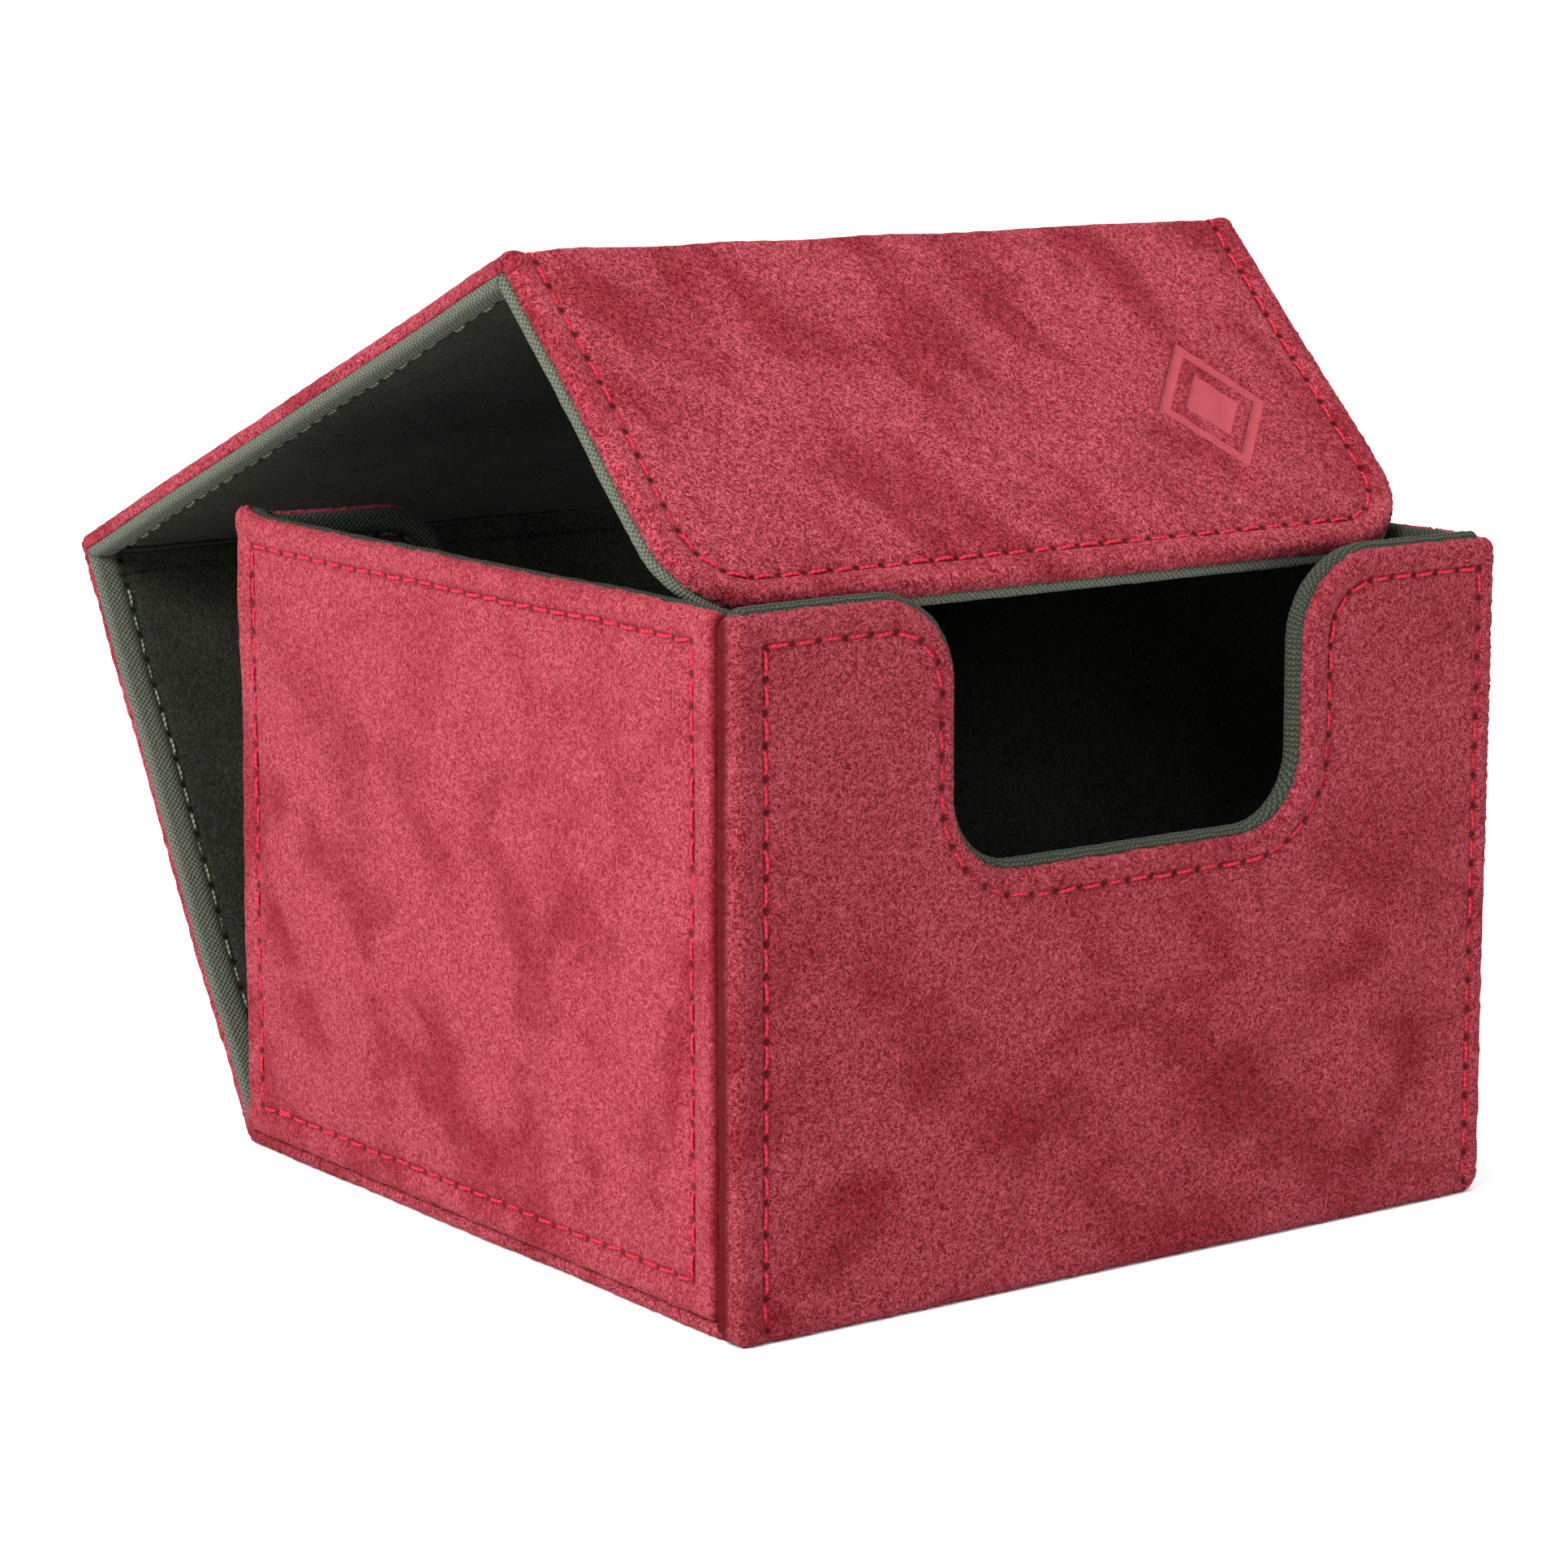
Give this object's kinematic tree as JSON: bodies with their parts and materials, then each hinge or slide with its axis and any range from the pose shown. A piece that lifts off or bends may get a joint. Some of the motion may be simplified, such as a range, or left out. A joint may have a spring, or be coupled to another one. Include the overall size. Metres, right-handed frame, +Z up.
{
  "type": "card deck box",
  "caption": "Suede-covered card box: open tray with thumb notches front and rear, and a wrap-round cover of back, lid and flap on fabric folds.",
  "frame": {"origin": "on the floor, under the middle of the tray, on the underside of the base", "axes": "+X to the right seen from the front, +Y from the notched front wall to the hinged back, +Z up"},
  "size_m": [0.104, 0.1417, 0.1081],
  "materials": {
    "red_suede": "napped microfibre suede, matt",
    "grey_lining": "fine knitted lining, matt",
    "grey_board": "plain grey board, matt",
    "magnet_steel": "plated, satin"
  },
  "bodies": {
    "tray": {"base_skin": "red_suede", "base_board": "grey_board", "base_lining": "grey_lining", "front_wall_skin": "red_suede", "front_wall_board": "grey_board", "front_wall_lining": "grey_lining", "rear_wall_skin": "red_suede", "rear_wall_board": "grey_board", "rear_wall_lining": "grey_lining", "left_wall_skin": "red_suede", "left_wall_board": "grey_board", "left_wall_lining": "grey_lining", "right_wall_skin": "red_suede", "right_wall_board": "grey_board", "right_wall_lining": "grey_lining", "front_magnet_left": "magnet_steel", "front_magnet_right": "magnet_steel", "base_back_fold": "red_suede"},
    "back_cover": {"back_cover_skin": "red_suede", "back_cover_board": "grey_board", "back_cover_lining": "grey_lining", "back_lid_fold": "red_suede"},
    "lid": {"lid_skin": "red_suede", "lid_board": "grey_board", "lid_lining": "grey_lining", "lid_flap_fold": "red_suede"},
    "flap": {"flap_skin": "red_suede", "flap_board": "grey_board", "flap_lining": "grey_lining", "flap_magnet_left": "magnet_steel", "flap_magnet_right": "magnet_steel"}
  },
  "joints": [
    {"name": "back_hinge", "type": "hinge", "parent": "tray", "child": "back_cover", "pos_m": [0, 0.0523, 0.0012], "axis": [-1, 0, 0], "range_deg": [0, 59.85]},
    {"name": "lid_hinge", "type": "hinge", "parent": "back_cover", "child": "lid", "pos_m": [0, 0.09052, 0.067], "axis": [-1, 0, 0], "range_deg": [0, 97.75]},
    {"name": "flap_hinge", "type": "hinge", "parent": "lid", "child": "flap", "pos_m": [0, -0.00619, 0.10687], "axis": [-1, 0, 0], "range_deg": [0, 67.21]}
  ]
}
